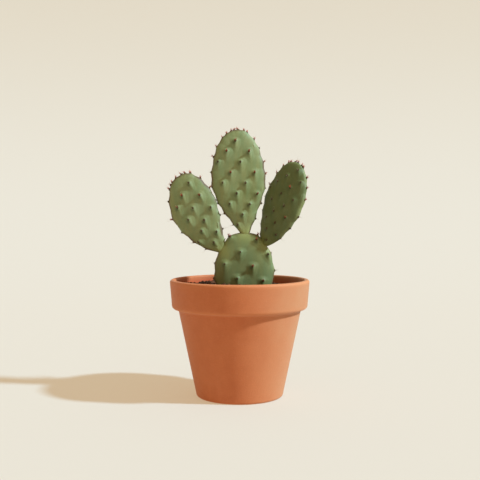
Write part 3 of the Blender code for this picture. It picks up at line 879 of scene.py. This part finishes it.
def needle(around, rings, bend):
    """A thin cone of length 1 and radius 1 at its root, which bends sideways by the square of its height."""
    angle = np.arange(around) * 2 * np.pi / around
    height = np.linspace(0, 0.92, rings)[:, None]
    radius = (1 - height) ** 0.7
    grid = np.stack([radius * np.cos(angle), radius * np.sin(angle), height + 0 * angle], axis=-1)
    points, quads, triangles = closed_tube(grid, (0, 0, -0.02), (0, 0, 1))
    return points, quads, triangles, points[:, 2].clip(0, 1), bend * points[:, 2] ** 2


def aimed_turns(draw, out, up, spread, lift):
    """Turns whose third axis points about outward, tipped up the pad by lift, and spread at random."""
    aim = unit(out + lift * up + spread * draw.normal(size=out.shape))
    side = unit(np.cross(up + 0.01, aim))
    return np.stack([side, np.cross(aim, side), aim], axis=-1)


def add_needles(name, draw, frames, counts, material, length, radius, spread, lift, rings=3):
    """A piece of needles on the cushions. The radius is in mm, and so are the least and most length."""
    place, out, up = (np.repeat(part, counts, axis=0) for part in frames)
    turns = aimed_turns(draw, out, up, spread, lift)
    points, quads, triangles, along, bent = needle(NEEDLE_SIDES, rings, NEEDLE_BEND)
    size = draw.uniform(*length, len(place)) * MM
    shape = np.stack([points[:, 0] * radius * MM + bent * size[:, None],
                      np.broadcast_to(points[:, 1] * radius * MM, (len(size), len(points))),
                      points[:, 2] * size[:, None]], axis=-1)
    spot = place + TUFT_WIDTH * draw.normal(size=place.shape) * (1 - np.abs(out))
    mesh = mesh_from(name, *scatter(shape, quads, triangles, spot, turns))
    set_values(mesh, "along", np.tile(along, len(size)))
    add_piece(name, mesh, material, "spines")


felt = make_felt()
bristle_material = make_spine_material("bristles", (0.085, 0.042, 0.018), (0.30, 0.14, 0.055), 0.6)
red_material = make_spine_material("red_bristles", (0.30, 0.040, 0.016), (0.74, 0.135, 0.055), 0.55)
spine_material = make_spine_material("fine_spines", (0.42, 0.33, 0.22), (0.78, 0.70, 0.56), 0.5)
dome, dome_quads, dome_triangles = ball(9, 5)
for seed, (name, pad) in enumerate(pads.items(), start=200):
    draw = np.random.default_rng(seed)
    place, out, up, is_edge, height, _ = cushions[name]
    top = (place + out * (height - CUSHION_SINK)[:, None] + pad["neck"]) @ pad["axes"].T
    above_soil = top[:, 2] > soil_crown + 0.5 * MM
    top, out, up = top[above_soil], (out @ pad["axes"].T)[above_soil], (up @ pad["axes"].T)[above_soil]
    is_edge = is_edge[above_soil]
    high_up = place[above_soil, 2] / pad["length"]

    side = unit(np.cross(up, out))
    turns = np.stack([side, up, out], axis=-1)
    size = draw.uniform(0.85, 1.2, (len(side), 1, 1)) * CUSHION_SIZE
    replaced = [node for node in nodes if node.startswith(name + "_spines")]
    parts = scatter(dome * size, dome_quads, dome_triangles, top, turns)
    add_piece(name + "_cushions", mesh_from(name + "_cushions", *parts), felt, "spines", *replaced)

    # The higher up the pad, the more of the tufts are red.
    red_share = np.where(is_edge > 0, 1.6 * high_up - 0.55, pad["red_faces"] * high_up)
    red = draw.uniform(0, 1, len(side)) < red_share
    tufts = top, out, up
    counts = np.where(red, draw.integers(2, 6, len(side)), draw.integers(9, 15, len(side)))
    add_needles(name + "_bristles", draw, tufts, counts, bristle_material,
                length=(0.6, 1.5), radius=0.075, spread=0.40, lift=0.25)
    counts = np.where(red, draw.integers(17, 28, len(side)), 0)
    add_needles(name + "_red_bristles", draw, tufts, counts, red_material,
                length=(1.1, 2.8), radius=0.12, spread=0.34, lift=0.7)
    on_edge, on_face = draw.integers(1, 4, len(side)), draw.integers(0, 3, len(side)) * (high_up > 0.4)
    add_needles(name + "_spines", draw, tufts, np.where(is_edge > 0, on_edge, on_face), spine_material,
                length=(2.5, 5.6), radius=0.06, spread=0.34, lift=0.35, rings=5)


# ---------------------------------------------------------------------------------------------------------
# The studio: a pale floor that sweeps up into a plain backdrop, a soft key light from the right, and a warm
# fill from all round. The camera looks at the front from just above the rim.

def make_backdrop():
    """A floor that runs level to just behind the pot, then turns up slowly in a wide arc."""
    front, bend_start, bend_radius, half_width = -3.0, 0.5, 3.0, 5.0
    turn = np.linspace(0, np.radians(80), 40)
    depth = np.concatenate([[front], bend_start + bend_radius * np.sin(turn)])
    height = np.concatenate([[0.0], bend_radius - bend_radius * np.cos(turn)])
    across = np.linspace(-half_width, half_width, 3)
    grid = np.stack(np.broadcast_arrays(across[None, :], depth[:, None], height[:, None]), axis=-1)
    rows, columns = grid.shape[:2]
    row, column = np.meshgrid(np.arange(rows - 1), np.arange(columns - 1), indexing="ij")
    first = (row * columns + column).ravel()
    faces = np.stack([first, first + 1, first + 1 + columns, first + columns], axis=1)
    mesh = bpy.data.meshes.new("backdrop")
    mesh.from_pydata(grid.reshape(-1, 3).tolist(), [], faces.tolist())
    mesh.shade_smooth()
    return mesh


paper, paper_tree, paper_shader = new_material("backdrop_paper", 0.1)
paper_shader.inputs["Base Color"].default_value = (0.305, 0.333, 0.330, 1.0)
paper_shader.inputs["Roughness"].default_value = 0.9
paper_place = add_node(paper_tree, "TexCoord").outputs["Object"]
paper_height = add_node(paper_tree, "SeparateXYZ", {0: paper_place}).outputs["Z"]
high = ease_between(paper_tree, paper_height, -0.15, 1.15)
glow = blend_colors(paper_tree, high, (0.452, 0.327, 0.202), (0.410, 0.266, 0.122))
paper_tree.links.new(glow, paper_shader.inputs["Emission Color"])
paper_shader.inputs["Emission Strength"].default_value = 1.0
backdrop = bpy.data.objects.new("backdrop", make_backdrop())
backdrop.data.materials.append(paper)
bpy.context.scene.collection.objects.link(backdrop)

world = bpy.data.worlds.new("soft_fill")
world.use_nodes = True
seen = add_node(world.node_tree, "LightPath").outputs["Is Camera Ray"]
sky = blend_colors(world.node_tree, seen, (0.53, 0.43, 0.31), (0.80, 0.74, 0.62))
world.node_tree.links.new(sky, world.node_tree.nodes["Background"].inputs["Color"])
bpy.context.scene.world = world

to_light = np.array([0.747, -0.214, 0.629])
key = bpy.data.lights.new("key_light", "SUN")
key.energy = 1.0
key.angle = math.radians(4)
key.color = (3.4, 4.65, 5.6)            # its strength is in its color
key_object = bpy.data.objects.new("key_light", key)
key_object.rotation_euler = (math.acos(to_light[2]), 0, math.atan2(to_light[0], -to_light[1]))
bpy.context.scene.collection.objects.link(key_object)

look_down = 1.66                        # degrees below level
camera = bpy.data.cameras.new("camera")
camera.sensor_width = 36
camera.lens = 57.0
camera_object = bpy.data.objects.new("camera", camera)
camera_object.location = (0.0002, -0.600, 0.1403)
camera_object.rotation_euler = (math.radians(90 - look_down), 0, 0)
bpy.context.scene.collection.objects.link(camera_object)
bpy.context.scene.camera = camera_object
bpy.context.scene.view_settings.view_transform = "Standard"
